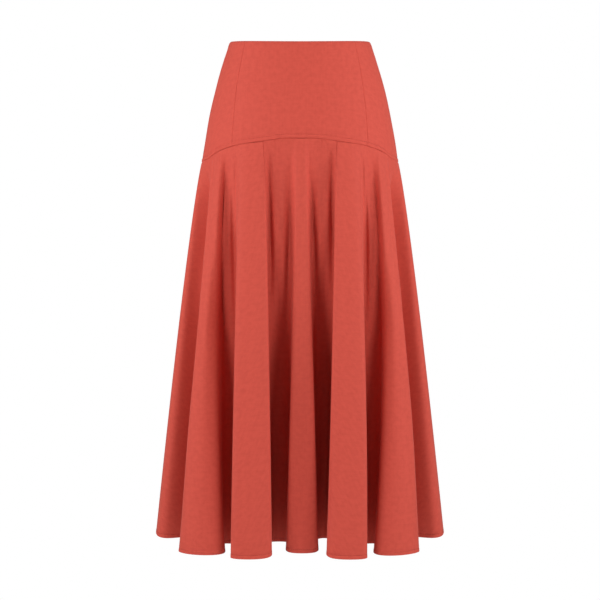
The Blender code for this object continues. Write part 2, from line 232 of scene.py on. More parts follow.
def smooth_value(places: Array, values: Array, at: Array) -> Array:
    """The value at any place on a smooth curve through a table's values.

    Args:
        places: Where the values are known, in rising order.
        values: The values there.
        at: Where the values are wanted.

    Returns:
        The values, in the shape of at.
    """
    last = len(places) - 1
    i = np.clip(np.searchsorted(places, at, side="right") - 1, 0, last - 1)
    low = np.maximum(np.arange(last + 1) - 1, 0)
    high = np.minimum(np.arange(last + 1) + 1, last)
    slope = (values[high] - values[low]) / (places[high] - places[low])
    step = places[i + 1] - places[i]
    f = (at - places[i]) / step
    bend = 3 * f**2 - 2 * f**3
    leave = (f**3 - 2 * f**2 + f) * step * slope[i]
    arrive = (f**3 - f**2) * step * slope[i + 1]
    return values[i] + (values[i + 1] - values[i]) * bend + leave + arrive


def ring_value(values: Array, turn: Array) -> Array:
    """The value at any turn on a smooth closed curve that has values[k] at turn k.

    Args:
        values: The values at the whole turns.
        turn: Where the values are wanted.

    Returns:
        The values, in the shape of turn.
    """
    k = np.floor(turn).astype(int)
    f = turn - k
    before, here, there, after = (values[(k + i) % len(values)] for i in (-1, 0, 1, 2))
    return (
        here * (1 - 3 * f**2 + 2 * f**3)
        + there * (3 * f**2 - 2 * f**3)
        + (there - before) / 2 * (f**3 - 2 * f**2 + f)
        + (after - here) / 2 * (f**3 - f**2)
    )


def soft_step(low: float, high: float, at: Array) -> Array:
    """A smooth rise from 0 at low to 1 at high.

    Args:
        low: Where the rise starts.
        high: Where it ends.
        at: Where the value is wanted.

    Returns:
        Values from 0 to 1, in the shape of at.
    """
    f = np.clip((at - low) / (high - low), 0, 1)
    return f * f * (3 - 2 * f)


def unit(vectors: Array) -> Array:
    """The same directions, each made 1 long on the last axis."""
    return vectors / np.maximum(np.linalg.norm(vectors, axis=-1, keepdims=True), 1e-12)


@dataclass(frozen=True)
class SkirtForm:
    """The shape of the whole skirt, as its solids have it, at any place on the cloth.

    A place is an angle and a level on the yoke, or a turn and a fall on the lower skirt: a turn is one
    flute, and fall runs from 0 at the yoke seam to 1 at the hem.
    """

    waist_dip_front: float = 4.5 * MM
    waist_dip_back: float = 4.0 * MM
    hem_level: float = 846.0 * MM
    hem_flank_rise: float = 3.0 * MM
    opening_power: float = 0.84
    crest_width: float = 0.2
    crest_flatness: float = 0.06
    column_crowding: float = 0.3

    def girth(self, name: str, below: Array) -> Array:
        """Metres from the middle to the side, front or back at a level in metres below the waist."""
        return smooth_value(rows_of(GIRTHS, "below_waist"), rows_of(GIRTHS, name), below / MM) * MM

    def body(self, angle: Array, below: Array) -> Array:
        """Points of the fitted form.

        Args:
            angle: Radians from the centre front.
            below: Metres below the waist.

        Returns:
            Points, with x, y and z on the last axis.
        """
        angle, below = np.broadcast_arrays(angle, below)
        forward = np.cos(angle)
        depth = np.where(forward > 0, self.girth("front", below), self.girth("back", below))
        return np.stack([self.girth("side", below) * np.sin(angle), -depth * forward, -below], axis=-1)

    def waist_level(self, angle: Array) -> Array:
        """Metres from the waist at the side down to the top edge, at an angle in radians."""
        forward = np.cos(angle)
        return np.where(forward > 0, self.waist_dip_front, self.waist_dip_back) * forward**2

    def seam_level(self, angle: Array) -> Array:
        """Metres from the waist down to the yoke seam, at an angle in radians."""
        folded = np.abs((np.degrees(angle) + 180) % 360 - 180)
        return smooth_value(rows_of(YOKE_SEAM, "angle"), rows_of(YOKE_SEAM, "drop"), folded) * MM

    def seam_angle(self, turn: Array) -> Array:
        """The angle at which a turn of the lower skirt meets the yoke seam.

        Args:
            turn: Flutes counted from the centre front.

        Returns:
            Radians.
        """
        folds = [fold for pair in zip(CRESTS, TROUGHS) for fold in pair]
        knots = np.array([degrees for fold in folds for degrees in (fold.seam_deg, fold.side_deg)])
        per_knot = 90 / len(CRESTS)
        shifts = knots - per_knot * np.arange(len(knots))
        return np.radians(4 * per_knot * turn + ring_value(shifts, 4 * turn))

    def sideways(self, table: Sequence[Fold], turn: Array, fall: Array) -> Array:
        """How far the folds of a table stand sideways.

        Args:
            table: CRESTS or TROUGHS.
            turn: Flutes, counted from the table's first fold.
            fall: 0 at the yoke seam to 1 at the hem.

        Returns:
            Metres, onwards round the skirt.
        """
        late = ring_value(rows_of(table, "late"), turn)
        swell = ring_value(rows_of(table, "swing"), turn) * fall**late
        bow = ring_value(rows_of(table, "bow"), turn) * 4 * fall * (1 - fall)
        return (swell * np.sin(4 * np.pi * turn) + bow) * MM

    def hem_points(self, turn: Array) -> tuple[Array, Array]:
        """Where the tops of the flutes and the bottoms of the valleys lie at the hem, in plan.

        Args:
            turn: Flutes counted from the centre front.

        Returns:
            The points of the two smooth rings at each turn.
        """
        crest, trough = (
            np.stack([ring_value(rows_of(table, name), at) * MM for name in ("hem_x", "hem_y")], axis=-1)
            for table, at in ((CRESTS, turn), (TROUGHS, turn - 0.5))
        )
        return crest, trough

    def across(self, turn: Array) -> Array:
        """The way out from a valley to its flutes at a turn: unit vectors in plan."""
        crest, trough = self.hem_points(turn)
        return unit(crest - trough)

    def hem_lift(self, turn: Array) -> Array:
        """How much higher, in metres, the hem hangs at a turn where a flute swings out."""
        away = ((turn - row.turn + 6) % 12 - 6 for row in HEM_LIFTS)
        return sum(row.lift * MM * np.exp(-((gap / row.width) ** 2)) for row, gap in zip(HEM_LIFTS, away))

    def skirt(self, turn: Array, fall: Array) -> Array:
        """Points of the lower skirt.

        Args:
            turn: Flutes counted from the centre front.
            fall: 0 at the yoke seam to 1 at the hem.

        Returns:
            Points, with x, y and z on the last axis.
        """
        turn, fall = np.broadcast_arrays(turn, fall)
        turn = turn - self.column_crowding * np.sin(4 * np.pi * turn) / (4 * np.pi)
        phase = 2 * np.pi * turn
        wave = np.cos(phase) + self.crest_width * np.sin(phase) ** 2
        share = (1 + wave - self.crest_flatness * (np.cos(3 * phase) - np.cos(phase))) / 2
        crest, trough = self.hem_points(turn)
        across = unit(crest - trough)
        aside = self.sideways(CRESTS, turn, fall) * share
        aside = aside + self.sideways(TROUGHS, turn - 0.5, fall) * (1 - share)
        angle = self.seam_angle(turn)
        top = self.seam_level(angle)
        seam = self.body(angle, top)[..., :2]
        opened = (fall**self.opening_power)[..., None]
        plan = seam + (trough + (crest - trough) * share[..., None] - seam) * opened
        plan = plan + np.stack([-across[..., 1], across[..., 0]], axis=-1) * aside[..., None]
        hem = self.hem_level - self.hem_flank_rise * np.sin(phase) ** 2 - self.hem_lift(turn)
        level = top + (hem - top) * fall
        return np.concatenate([plan, -level[..., None]], axis=-1)


class Graph:
    """The nodes of a material or of the surroundings, added and joined in one way."""

    def __init__(self, owner: bpy.types.ID) -> None:
        """Opens the owner's nodes.

        Args:
            owner: A material or a world.
        """
        owner.use_nodes = True
        self.tree = owner.node_tree
        self.nodes = self.tree.nodes

    def set(self, node: bpy.types.Node, values: dict[str | int, Any]) -> None:
        """Sets a node's inputs, each to a value or to what another node's output gives.

        Args:
            node: The node.
            values: Values or output sockets, by the input's name or number.
        """
        for key, value in values.items():
            if isinstance(value, bpy.types.NodeSocket):
                self.tree.links.new(value, node.inputs[key])
            else:
                node.inputs[key].default_value = value

    def add(self, kind: str, values: dict[str | int, Any] | None = None, **settings: Any) -> bpy.types.Node:
        """Adds a node.

        Args:
            kind: Its type, without the words ShaderNode.
            values: What goes into its inputs.
            **settings: Its own settings, such as operation.

        Returns:
            The node.
        """
        node = self.nodes.new("ShaderNode" + kind)
        for name, setting in settings.items():
            setattr(node, name, setting)
        self.set(node, values or {})
        return node

    def ramp(
        self, share: bpy.types.NodeSocket, *stops: tuple[float, Sequence[float]]
    ) -> bpy.types.NodeSocket:
        """Adds a ramp between two colours.

        Args:
            share: What it reads.
            *stops: The place and the colour of its two ends.

        Returns:
            The colour it gives.
        """
        ramp = self.add("ValToRGB", {"Fac": share})
        for element, (position, colour) in zip(ramp.color_ramp.elements, stops):
            element.position = position
            element.color = (*colour, 1)
        return ramp.outputs["Color"]


@dataclass(frozen=True)
class ClothFinish:
    """A matt woven cloth, drawn on the shell's own thread directions in metres."""

    name: str
    colour: tuple[float, float, float] = (0.595, 0.070, 0.044)
    shade: tuple[float, float, float] = (0.535, 0.057, 0.036)
    thread_pitch: float = 0.55 * MM
    slub_scale: float = 420.0
    slub_stretch: float = 0.06  # how short a slub is across, against along the thread
    slub_tone: float = 0.35
    slub_height: float = 0.5
    patch_scale: float = 130.0
    roughness: float = 0.82
    sheen: float = 0.12
    bump: float = 0.35
    relief: float = 0.06 * MM

    def build(self) -> bpy.types.Material:
        """Makes the material.

        Returns:
            The cloth's material.
        """
        material = bpy.data.materials.new(self.name)
        graph = Graph(material)
        threads = graph.add("UVMap", uv_map="Threads").outputs["UV"]
        band = math.pi / (10 * self.thread_pitch)
        waves = [
            graph.add("TexWave", {"Scale": band, "Distortion": 0.6, "Detail": 1.0, "Vector": threads},
                      bands_direction=direction).outputs["Fac"]
            for direction in ("X", "Y")
        ]
        weave = graph.add("Math", dict(enumerate(waves)), operation="MULTIPLY").outputs["Value"]
        slubs = []
        for stretch in ((1.0, self.slub_stretch, 1.0), (self.slub_stretch, 1.0, 1.0)):
            drawn_out = graph.add("Mapping", {"Scale": stretch, "Vector": threads}).outputs["Vector"]
            noise = graph.add("TexNoise", {"Scale": self.slub_scale, "Detail": 2.0, "Vector": drawn_out})
            slubs.append(noise.outputs["Fac"])
        slub = graph.add("Math", dict(enumerate(slubs)), operation="ADD").outputs["Value"]
        patches = graph.add("TexNoise", {"Scale": self.patch_scale, "Detail": 3.0, "Vector": threads})
        mixed = {0: slub, 1: self.slub_tone, 2: patches.outputs["Fac"]}
        tone = graph.add("Math", mixed, operation="MULTIPLY_ADD").outputs["Value"]
        height = graph.add("Math", {0: slub, 1: self.slub_height, 2: weave}, operation="MULTIPLY_ADD")
        relief = {"Strength": self.bump, "Distance": self.relief, "Height": height.outputs["Value"]}
        graph.set(graph.nodes["Principled BSDF"], {
            "Roughness": self.roughness,
            "Sheen Weight": self.sheen,
            "Sheen Roughness": 0.45,
            "Sheen Tint": (1.0, 0.75, 0.65, 1),
            "Specular IOR Level": 0.4,
            "Base Color": graph.ramp(tone, (0.55, self.shade), (1.0, self.colour)),
            "Normal": graph.add("Bump", relief).outputs["Normal"],
        })
        return material


@dataclass(frozen=True)
class SolidFinish:
    """A plain hard or thread-like surface with a fine grain."""

    name: str
    colour: tuple[float, float, float]
    roughness: float
    metallic: float = 0.0
    grain_scale: float = 900.0
    grain_shade: float = 0.82
    grain: float = 0.1
    roughness_swing: float = 0.08
    relief: float = 0.05 * MM

    def build(self) -> bpy.types.Material:
        """Makes the material.

        Returns:
            The material.
        """
        material = bpy.data.materials.new(self.name)
        graph = Graph(material)
        place = graph.add("TexCoord").outputs["Object"]
        grain = {"Scale": self.grain_scale, "Detail": 2.0, "Vector": place}
        noise = graph.add("TexNoise", grain).outputs["Fac"]
        dark = [self.grain_shade * part for part in self.colour]
        low, high = self.roughness - self.roughness_swing, self.roughness + self.roughness_swing
        rough = graph.add("MapRange", {"To Min": low, "To Max": high, "Value": noise})
        relief = {"Strength": self.grain, "Distance": self.relief, "Height": noise}
        graph.set(graph.nodes["Principled BSDF"], {
            "Metallic": self.metallic,
            "Base Color": graph.ramp(noise, (0.3, dark), (0.7, self.colour)),
            "Roughness": rough.outputs["Result"],
            "Normal": graph.add("Bump", relief).outputs["Normal"],
        })
        return material


@dataclass(frozen=True)
class Finishes:
    """The materials of the skirt, each made once."""

    cloth: bpy.types.Material
    tape: bpy.types.Material
    thread: bpy.types.Material
    metal: bpy.types.Material


def mesh_of(bm: bmesh.types.BMesh, name: str) -> bpy.types.Mesh:
    """The mesh that a bmesh holds, which is then freed."""
    mesh = bpy.data.meshes.new(name)
    bm.to_mesh(mesh)
    bm.free()
    return mesh


def link_object(name: str, data: bpy.types.ID) -> bpy.types.Object:
    """A new object in the scene that holds a mesh, curve, light or camera."""
    made = bpy.data.objects.new(name, data)
    bpy.context.scene.collection.objects.link(made)
    return made


def modified(mesh: bpy.types.Mesh, modifiers: dict[str, dict[str, Any]], sharp: float) -> bpy.types.Mesh:
    """A mesh with modifiers applied, smooth but for its sharp edges.

    Args:
        mesh: The mesh before them.
        modifiers: The settings of each modifier, by its type.
        sharp: The angle in degrees from which an edge stays sharp.

    Returns:
        The finished mesh.
    """
    form = link_object(mesh.name + "_form", mesh)
    for kind, settings in modifiers.items():
        modifier = form.modifiers.new(kind, kind)
        for name, setting in settings.items():
            setattr(modifier, name, setting)
    graph = bpy.context.evaluated_depsgraph_get()
    finished = bpy.data.meshes.new_from_object(form.evaluated_get(graph))
    bpy.data.objects.remove(form)
    finished.shade_smooth()
    finished.set_sharp_from_angle(angle=math.radians(sharp))
    return finished


def finish_object(
    name: str, mesh: bpy.types.Mesh, material: bpy.types.Material, body: str
) -> bpy.types.Object:
    """Puts a finished mesh in the scene as a piece that rides on a body.

    Args:
        name: The piece's name.
        mesh: Its mesh, in the frame's own place.
        material: Its material.
        body: The body it moves with.

    Returns:
        The piece.
    """
    mesh.materials.clear()
    mesh.materials.append(material)
    piece = link_object(name, mesh)
    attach(piece, body)
    return piece


@dataclass
class Shell:
    """A thin shell of cloth on a grid of points: its middle surface first, then both faces and the rim."""

    name: str
    points: Array
    thickness: float = CLOTH_THICKNESS

    def lengths(self) -> tuple[Array, Array]:
        """Distances on the cloth from the left edge along each row, and from the top along each column.

        Returns:
            Two arrays in the shape of the grid.
        """
        across, down = (np.linalg.norm(np.diff(self.points, axis=axis), axis=-1) for axis in (1, 0))
        from_left, from_top = np.cumsum(across, axis=1), np.cumsum(down, axis=0)
        return np.insert(from_left, 0, 0, axis=1), np.insert(from_top, 0, 0, axis=0)

    def outward(self) -> Array:
        """The way out of the cloth at each point of the grid, as unit vectors."""
        return unit(np.cross(np.gradient(self.points, axis=0), np.gradient(self.points, axis=1)))

    def raise_by(self, height: Array) -> None:
        """Moves the surface out by a height in metres at each point, below zero for inwards."""
        self.points = self.points + self.outward() * height[..., None]

    def build(self, material: bpy.types.Material, slot: str) -> bpy.types.Object:
        """Makes the shell's mesh and its piece.

        Args:
            material: The cloth's material.
            slot: The record's material slot; not used.

        Returns:
            The piece.
        """
        rows, columns = self.points.shape[:2]
        across, down = self.lengths()
        middle = columns // 2
        middle_down = np.broadcast_to(down[:, middle : middle + 1], down.shape)
        threads = np.stack([across - across[:, middle : middle + 1], -middle_down], axis=-1)
        bm = bmesh.new()
        bmesh.ops.create_grid(bm, x_segments=columns - 1, y_segments=rows - 1, size=0.5)
        mesh = mesh_of(bm, self.name)
        flat = np.empty(len(mesh.vertices) * 3)
        mesh.vertices.foreach_get("co", flat)
        flat = flat.reshape(-1, 3)
        column = np.rint((flat[:, 0] + 0.5) * (columns - 1)).astype(int)
        row = np.rint((0.5 - flat[:, 1]) * (rows - 1)).astype(int)
        mesh.vertices.foreach_set("co", self.points[row, column].ravel())
        corners = np.empty(len(mesh.loops), dtype=int)
        mesh.loops.foreach_get("vertex_index", corners)
        layer = mesh.uv_layers.new(name="Threads")
        layer.data.foreach_set("uv", threads[row, column][corners].ravel())
        mesh.update()
        finished = modified(mesh, {"SOLIDIFY": {"thickness": self.thickness, "offset": 0}}, sharp=60)
        finished.name = self.name
        return finish_object(self.name, finished, material, SKIRT_BODY)


def spread(near: Sequence[float], far: Sequence[float], count: int, length: Array) -> Array:
    """Shares of a length: chosen distances from its two ends, and even steps between them.

    Args:
        near: Distances from the start, in rising order.
        far: Distances from the end, in rising order.
        count: How many even steps lie between the last of each.
        length: The whole length, a number or an array.

    Returns:
        Shares from 0 to 1 on a new first axis.
    """
    length = np.asarray(length, dtype=float)
    start = [distance / length for distance in near]
    end = [1 - distance / length for distance in reversed(far)]
    middle = [start[-1] + (end[0] - start[-1]) * k / count for k in range(1, count)]
    return np.stack([*start, *middle, *end])


@dataclass(frozen=True)
class Seam:
    """The soft groove where two panels meet: each edge rolls in over a short way."""

    depth: float
    width: float

    def roll(self, distance: Array) -> Array:
        """How far, zero or below, the cloth dips at a distance from a seam, in metres."""
        return -self.depth * (1 - soft_step(0, self.width, distance)) ** 1.5


@dataclass(frozen=True)
class StitchLine:
    """A row of lockstitches lying in a faint trench of the cloth."""

    stitch: float = 2.6 * MM
    gap: float = 0.55 * MM
    radius: float = 0.24 * MM
    trench: float = 0.7 * MM
    trench_width: float = 0.75 * MM

    def sink(self, distance: Array) -> Array:
        """How far, zero or below, the cloth is drawn in at a distance from the stitches, in metres."""
        return -self.trench * np.exp(-((distance / self.trench_width) ** 2))

    def seat(self, proud: float) -> float:
        """How far from the cloth's face the stitches lie, where a share of their radius stands proud."""
        return proud * self.radius - self.trench

    def build(self, name: str, line: Array, out: Array, material: bpy.types.Material) -> bpy.types.Object:
        """Lays the stitches along a line.

        Args:
            name: The piece's name.
            line: Points of the line, close together.
            out: The way out of the cloth at each point.
            material: The thread's material.

        Returns:
            The piece.
        """
        bm = bmesh.new()
        bmesh.ops.create_uvsphere(bm, u_segments=6, v_segments=5, radius=1)
        stitch = mesh_of(bm, name + "_stitch")
        shape = np.array([vert.co for vert in stitch.vertices]) * (self.radius, self.radius, self.stitch / 2)
        faces = [list(face.vertices) for face in stitch.polygons]
        bpy.data.meshes.remove(stitch)
        along = np.concatenate([[0], np.cumsum(np.linalg.norm(np.diff(line, axis=0), axis=1))])
        count = int(along[-1] / (self.stitch + self.gap))
        at = (np.arange(count) + 0.5) * along[-1] / count

        def on_line(values: Array, places: Array) -> Array:
            """The values at places along the line."""
            return np.stack([np.interp(places, along, values[:, i]) for i in range(3)], axis=-1)

        centre, normal = on_line(line, at), on_line(out, at)
        ahead = unit(on_line(line, at + 0.5 * MM) - centre)
        normal = unit(normal - ahead * np.sum(normal * ahead, axis=-1, keepdims=True))
        frames = np.stack([np.cross(normal, ahead), normal, ahead], axis=1)
        points = (centre[:, None, :] + shape @ frames).reshape(-1, 3)
        all_faces = [[index + k * len(shape) for index in face] for k in range(count) for face in faces]
        mesh = bpy.data.meshes.new(name)
        mesh.from_pydata(points.tolist(), [], all_faces)
        mesh.shade_smooth()
        return finish_object(name, mesh, material, SKIRT_BODY)


@dataclass(frozen=True)
class Crease:
    """A soft ridge, or a trough where its height is below zero, that runs down the lower skirt.

    Its path is a row of falls and turns, its width is in turns, and its height in metres outwards. Where
    it also leans over, aside is how far, in metres onwards round the skirt. A blunt crease has a flat top.
    """

    path: tuple[tuple[float, float], ...]
    width: float
    height: float
    fade_in: float = 0.3
    fade_out: float = 0.5
    aside: float = 0.0
    blunt: bool = False

    def push(self, turn: Array, fall: Array, across: Array) -> Array:
        """How far the crease moves the cloth at any place, in plan.

        Args:
            turn: Flutes counted from the centre front.
            fall: 0 at the yoke seam to 1 at the hem.
            across: The way outwards there.

        Returns:
            Metres, with x and y on the last axis.
        """
        falls, turns = (np.array(column) for column in zip(*self.path))
        share = np.clip((fall - falls[0]) / (falls[-1] - falls[0]), 0, 1)
        away = (turn - np.interp(fall, falls, turns) + 6) % 12 - 6
        strength = soft_step(0, self.fade_in, share) * (1 - soft_step(1 - self.fade_out, 1, share))
        strength = strength * np.exp(-((away / self.width) ** (4 if self.blunt else 2)))
        onwards = np.stack([-across[..., 1], across[..., 0]], axis=-1)
        return (self.height * across + self.aside * onwards) * strength[..., None]


def valley_creases(turn: float, end: float, depth: float) -> tuple[Crease, ...]:
    """The creases of one valley that is hidden from the front: a trough beside each flute and a raised floor.

    Args:
        turn: The middle of the valley.
        end: The fall at which they have died away.
        depth: How deep the troughs are, in metres.

    Returns:
        The creases.
    """
    return (
        Crease(((0.0, turn - 0.21), (end, turn - 0.16)), 0.04, -depth),
        Crease(((0.0, turn + 0.22), (end, turn + 0.17)), 0.04, -0.8 * depth),
        Crease(((0.02, turn), (end + 0.08, turn)), 0.09, 1.4 * depth),
    )


FRONT_CREASES = (
    # both edges of the two valleys beside the centre flute, then their lit floors
    Crease(((0, -0.715), (0.07, -0.708), (0.15, -0.686), (0.25, -0.66), (0.46, -0.65)), 0.035, -5 * MM, 0.2),
    Crease(((0, -0.272), (0.08, -0.275), (0.15, -0.285), (0.25, -0.314), (0.44, -0.36)), 0.05, -3 * MM, 0.2),
    Crease(((0, 0.25), (0.08, 0.256), (0.15, 0.299), (0.25, 0.34), (0.44, 0.35)), 0.045, -3.5 * MM, 0.2),
    Crease(((0, 0.71), (0.07, 0.697), (0.15, 0.68), (0.25, 0.675), (0.46, 0.65)), 0.035, -4.5 * MM, 0.12),
    Crease(((0.02, -0.5), (0.25, -0.52), (0.66, -0.52)), 0.155, 17 * MM, 0.35, 0.5, blunt=True),
    Crease(((0.02, 0.5), (0.25, 0.52), (0.62, 0.53)), 0.155, 17 * MM, 0.35, 0.5, blunt=True),
    # the two valleys outside them: their edges and their floors
    Crease(((0.03, -1.66), (0.13, -1.73), (0.23, -1.772), (0.45, -1.78)), 0.04, -6 * MM, 0.3, 0.4),
    Crease(((0.0, -1.262), (0.13, -1.276), (0.23, -1.3), (0.4, -1.34)), 0.035, -4 * MM, 0.2),
    Crease(((0.04, -1.5), (0.13, -1.53), (0.23, -1.54), (0.6, -1.55)), 0.15, 12 * MM, 0.4, 0.5, blunt=True),
    Crease(((0.03, 1.66), (0.13, 1.735), (0.23, 1.765), (0.45, 1.77)), 0.04, -6 * MM, 0.3, 0.4),
    Crease(((0.0, 1.287), (0.13, 1.281), (0.23, 1.3), (0.4, 1.34)), 0.035, -4 * MM, 0.2),
    Crease(((0.04, 1.5), (0.13, 1.52), (0.23, 1.54), (0.6, 1.55)), 0.15, 12 * MM, 0.4, 0.5, blunt=True),
    # the rims of the outer front flutes, and the troughs behind them
    Crease(((0, -2.3), (0.05, -2.27), (0.08, -2.24), (0.18, -2.19), (0.45, -2.14), (1.05, -2.13)),
           0.04, 3.5 * MM, 0.06, 0.4, -4 * MM),
    Crease(((0.02, -2.6), (0.09, -2.66), (0.15, -2.68), (0.34, -2.7)), 0.09, -15 * MM, 0.3, 0.5),
    Crease(((0, 2.3), (0.05, 2.27), (0.08, 2.24), (0.18, 2.18), (0.45, 2.14), (1.05, 2.13)),
           0.04, 3.5 * MM, 0.06, 0.4, 4 * MM),
    Crease(((0.02, 2.58), (0.09, 2.64), (0.15, 2.66), (0.34, 2.69)), 0.09, -13 * MM, 0.3, 0.5),
    # the shaded inner sides of those flutes, and of one beside the centre
    Crease(((0.2, -1.8), (1.0, -1.82), (1.5, -1.83)), 0.16, -25 * MM, 0.2, 0.2, -6 * MM),
    Crease(((0.2, 1.79), (1.0, 1.8), (1.5, 1.82)), 0.15, -21 * MM, 0.2, 0.2, 6 * MM),
    Crease(((0.45, 0.82), (1.0, 0.83), (1.5, 0.83)), 0.05, -7 * MM, 0.5, 0.2),
    # small puckers at the yoke seam
    Crease(((0.0, -0.62), (0.035, -0.56)), 0.022, -1.0 * MM, 0.1),
    Crease(((0.0, 0.6), (0.04, 0.66)), 0.022, -1.0 * MM, 0.1),
    Crease(((0.0, 0.52), (0.03, 0.5)), 0.02, -0.8 * MM, 0.1),
    Crease(((0.0, -1.86), (0.05, -1.84)), 0.025, -0.8 * MM, 0.1),
)
BACK_CREASES = (
    *valley_creases(3.5, 0.42, 3.6 * MM),
    *valley_creases(4.5, 0.36, 4.4 * MM),
    *valley_creases(5.5, 0.45, 3.8 * MM),
    *valley_creases(6.5, 0.4, 4.6 * MM),
    *valley_creases(7.5, 0.38, 3.5 * MM),
    *valley_creases(8.5, 0.44, 4.0 * MM),
)


@dataclass
class Yoke:
    """The fitted hip yoke: seven panels, the roll of the waist edge, and the topstitching."""

    form: SkirtForm
    finishes: Finishes
    seam: Seam = field(default_factory=lambda: Seam(0.75 * MM, 1.1 * MM))
    yoke_seam: Seam = field(default_factory=lambda: Seam(2.8 * MM, 1.2 * MM))
    topstitch: StitchLine = field(default_factory=StitchLine)
    stitch_samples: int = 700
    roundness: float = 1.04  # a panel's width along the cloth, against straight across
    column: float = 3.2 * MM
    rows: int = 46
    edge_steps: tuple[float, ...] = (0.0, 0.4 * MM, 0.9 * MM, 1.6 * MM, 3.0 * MM)
    bottom_steps: tuple[float, ...] = (
        0.0, 0.4 * MM, 0.9 * MM, 1.6 * MM, 3.5 * MM, 5.0 * MM, 6.2 * MM, 6.9 * MM, 7.6 * MM, 8.8 * MM
    )
    zip_half_gap: float = 0.5 * MM
    zip_end: float = 169.0 * MM
    stitch_height: float = 6.9 * MM
    padding: float = 0.5 * MM
    waist_roll: float = 2.4 * MM
    waist_roll_height: float = 8.0 * MM

    def place(self, cut: YokeCut) -> Shell:
        """Lays one panel's grid on the form.

        Args:
            cut: The panel.

        Returns:
            Its shell, with its seams and edges shaped.
        """
        nominal = np.linspace(0, 1, len(self.edge_steps) + len(self.bottom_steps) + self.rows - 1)
        start = np.radians(cut.start_top + (cut.start_bottom - cut.start_top) * nominal)
        end = np.radians(cut.end_top + (cut.end_bottom - cut.end_top) * nominal)
        half_way = (start + end) / 2
        top = self.form.waist_level(half_way)
        reach = float(self.form.seam_level(half_way[-1]) - top[-1])
        below = top + reach * spread(self.edge_steps, self.bottom_steps, self.rows, reach)
        trim = np.where(below < self.zip_end, self.zip_half_gap, 0) / self.form.girth("side", below)
        start = start + (trim if cut.start_top == 180 else 0)
        end = end - (trim if cut.end_top == 180 else 0)
        chord = np.linalg.norm(self.form.body(end, below) - self.form.body(start, below), axis=-1)
        width = chord * self.roundness
        count = round(float(width.max()) / self.column)
        shares = spread(self.edge_steps, self.edge_steps, count, width).T
        angle = start[:, None] + (end - start)[:, None] * shares
        top = self.form.waist_level(angle)
        height = self.form.seam_level(angle) - top
        fall = spread(self.edge_steps, self.bottom_steps, self.rows, height[0])
        shell = Shell(cut.name + "_shell", self.form.body(angle, top + height * fall))
        across, down = shell.lengths()
        from_left, from_right = across, across[:, -1:] - across
        from_top, from_bottom = down, down[-1:] - down
        rolls = (self.seam.roll(from_left), self.seam.roll(from_right), self.yoke_seam.roll(from_bottom))
        rise = np.minimum.reduce(rolls)
        padded = 1 - soft_step(self.stitch_height - MM, self.stitch_height + MM, from_bottom)
        rise = rise + self.padding * padded
        rise = rise + self.topstitch.sink(from_bottom - self.stitch_height)
        curl = np.clip(1 - from_top / self.waist_roll_height, 0, 1)
        rise = rise - self.waist_roll * (1 - np.sqrt(1 - 0.98 * curl**2))
        shell.raise_by(rise + self.drift_of(shell.points))
        return shell

    def drift_of(self, points: Array) -> Array:
        """The faint unevenness of a fitted cloth.

        Args:
            points: Places on the yoke.

        Returns:
            Metres.
        """
        x, y, z = (points[..., i] for i in range(3))
        around = np.arctan2(x, -y)
        slow = np.sin(around * 5 + z * 40) * np.sin(z * 30 + 1.0) * 0.35
        fine = np.sin(around * 17 + z * 21 + 2.0) * np.sin(around * 9 - z * 55) * 0.16
        edge = soft_step(0.0, 0.02, -z) * soft_step(0.0, 0.02, self.form.seam_level(around) + z)
        return (slow + fine) * MM * edge

    def build(self) -> list[bpy.types.Object]:
        """Makes the panels and the topstitching.

        Returns:
            The pieces.
        """
        pieces = []
        for cut in YOKE_CUTS:
            piece = self.place(cut).build(self.finishes.cloth, "cloth")
            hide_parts(cut.name)
            pieces.append(piece)
        for name, start, end in (("topstitch_right", 0.3, 179.2), ("topstitch_left", 180.8, 359.7)):
            angle = np.radians(np.linspace(start, end, self.stitch_samples))
            below = self.form.seam_level(angle) - self.stitch_height
            line = self.form.body(angle, below)
            down = self.form.body(angle, below + MM) - line
            out = unit(np.cross(down, self.form.body(angle + STEP, below) - line))
            lift = CLOTH_THICKNESS / 2 + self.padding / 2 + self.topstitch.seat(0.4)
            pieces.append(self.topstitch.build(name, line + out * lift, out, self.finishes.thread))
        return pieces


